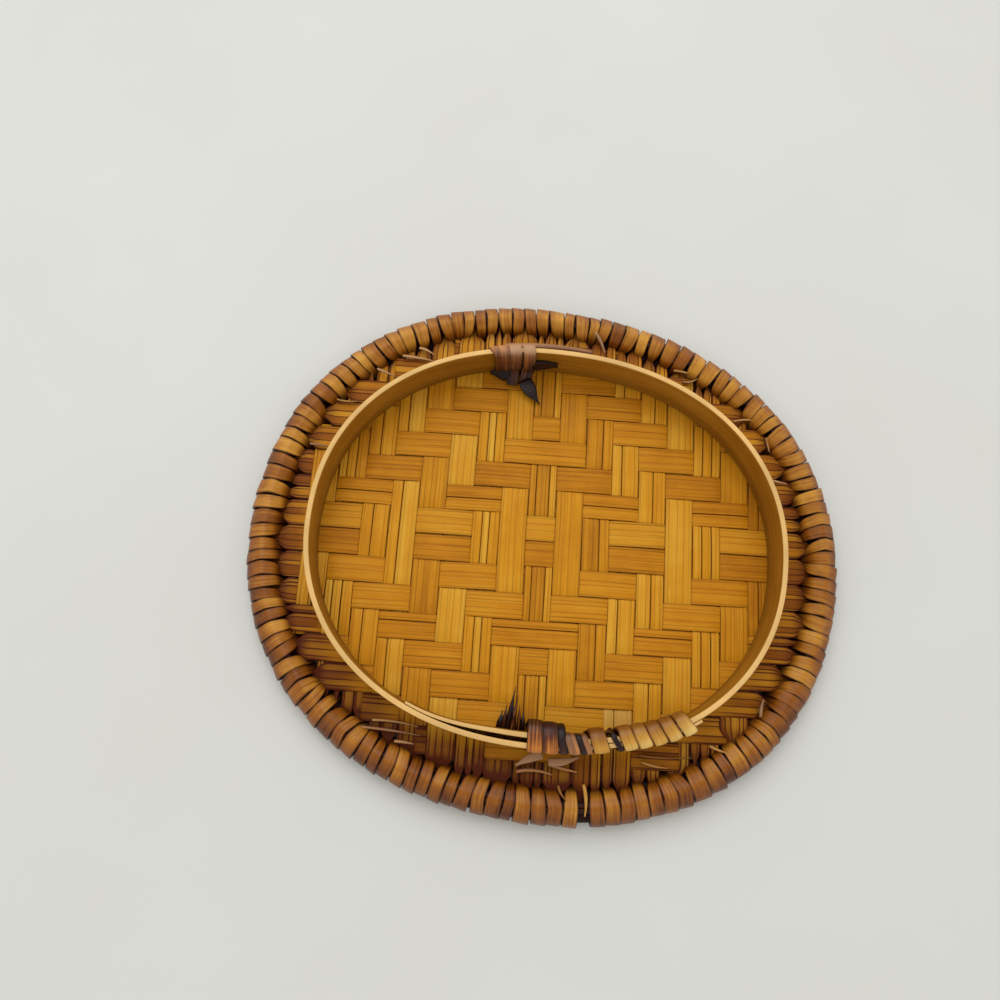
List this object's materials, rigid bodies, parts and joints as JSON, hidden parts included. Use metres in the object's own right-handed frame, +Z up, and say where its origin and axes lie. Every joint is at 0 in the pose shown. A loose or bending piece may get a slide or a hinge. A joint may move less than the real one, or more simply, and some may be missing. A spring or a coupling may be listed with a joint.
{
  "type": "woven basket half",
  "caption": "Oval half of a small plaited bamboo basket: a twill mat gripped in a lashed rattan rim, with an upright bent-bamboo hoop tied on as the collar for the other half.",
  "frame": {"origin": "on the resting face, below the middle of the rim's box", "axes": "+X along the oval and the weft, +Y along the warp and away from the viewer, +Z up through the open side of the collar hoop"},
  "size_m": [0.1392, 0.1218, 0.0179],
  "materials": {
    "warp_bamboo": "satin split bamboo",
    "weft_bamboo": "satin split bamboo",
    "core_cane": "dull cane",
    "lashing_rattan": "glossy rattan skin",
    "hoop_bamboo": "satin bamboo, paler on the cut edge",
    "binding_rattan": "satin rattan",
    "tie_rattan": "dull dark rattan"
  },
  "bodies": {
    "root": {"mat_warp_left_8": "warp_bamboo", "mat_warp_left_7": "warp_bamboo", "mat_warp_left_6": "warp_bamboo", "mat_warp_left_5": "warp_bamboo", "mat_warp_left_4": "warp_bamboo", "mat_warp_left_3": "warp_bamboo", "mat_warp_left_2": "warp_bamboo", "mat_warp_left_1": "warp_bamboo", "mat_warp_centre": "warp_bamboo", "mat_warp_right_1": "warp_bamboo", "mat_warp_right_2": "warp_bamboo", "mat_warp_right_3": "warp_bamboo", "mat_warp_right_4": "warp_bamboo", "mat_warp_right_5": "warp_bamboo", "mat_warp_right_6": "warp_bamboo", "mat_warp_right_7": "warp_bamboo", "mat_warp_right_8": "warp_bamboo", "mat_weft_near_8": "weft_bamboo", "mat_weft_near_7": "weft_bamboo", "mat_weft_near_6": "weft_bamboo", "mat_weft_near_5": "weft_bamboo", "mat_weft_near_4": "weft_bamboo", "mat_weft_near_3": "weft_bamboo", "mat_weft_near_2": "weft_bamboo", "mat_weft_near_1": "weft_bamboo", "mat_weft_far_1": "weft_bamboo", "mat_weft_far_2": "weft_bamboo", "mat_weft_far_3": "weft_bamboo", "mat_weft_far_4": "weft_bamboo", "mat_weft_far_5": "weft_bamboo", "mat_weft_far_6": "weft_bamboo", "mat_weft_far_7": "weft_bamboo", "mat_weft_far_8": "weft_bamboo", "rim_core_lower": "core_cane", "rim_core_upper": "core_cane", "rim_lashing_1": "lashing_rattan", "rim_lashing_2": "lashing_rattan", "rim_lashing_3": "lashing_rattan", "rim_lashing_4": "lashing_rattan", "collar_hoop": "hoop_bamboo", "hoop_binding": "binding_rattan", "tie_near": "tie_rattan", "tie_far": "tie_rattan"}
  },
  "joints": []
}
